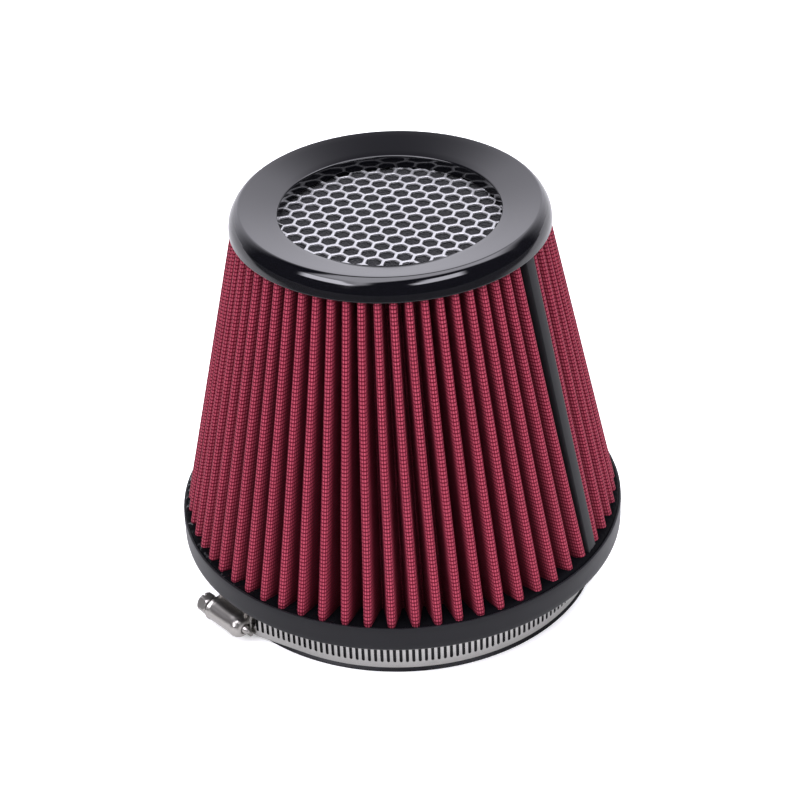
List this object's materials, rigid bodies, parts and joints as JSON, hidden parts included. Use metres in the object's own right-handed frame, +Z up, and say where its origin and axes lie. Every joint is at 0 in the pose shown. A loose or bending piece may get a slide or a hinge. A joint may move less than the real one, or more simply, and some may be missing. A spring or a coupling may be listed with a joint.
{
  "type": "cone air filter",
  "caption": "Cone-shaped engine air filter with pleated red gauze, a black clamp-on neck, a black ring cap with a hexagon grille, a seam strip and a worm clamp.",
  "frame": {"origin": "centre of the neck's open end, on the plane the filter stands on", "axes": "+Z up the cone's axis from the neck to the cap, -Y towards the front of the picture, +X to its right"},
  "size_m": [0.1906, 0.1906, 0.1755],
  "materials": {
    "base_rubber": "satin",
    "gauze": "woven under a wire screen",
    "strip_plastic": "satin",
    "cap_plastic": "gloss",
    "grille_metal": "satin",
    "pad_foam": "foam",
    "clamp_steel": "bright"
  },
  "bodies": {
    "filter": {"base_flange": "base_rubber", "pleated_media": "gauze", "seam_strip": "strip_plastic", "top_cap": "cap_plastic", "top_grille": "grille_metal", "grille_pad": "pad_foam", "clamp_band": "clamp_steel", "clamp_housing": "clamp_steel"},
    "screw": {"clamp_screw": "clamp_steel"}
  },
  "joints": [
    {"name": "screw_turn", "type": "hinge", "parent": "filter", "child": "screw", "pos_m": [-0.06913, -0.06116, 0.00865], "axis": [0.6626, -0.749, 0], "continuous": true}
  ]
}
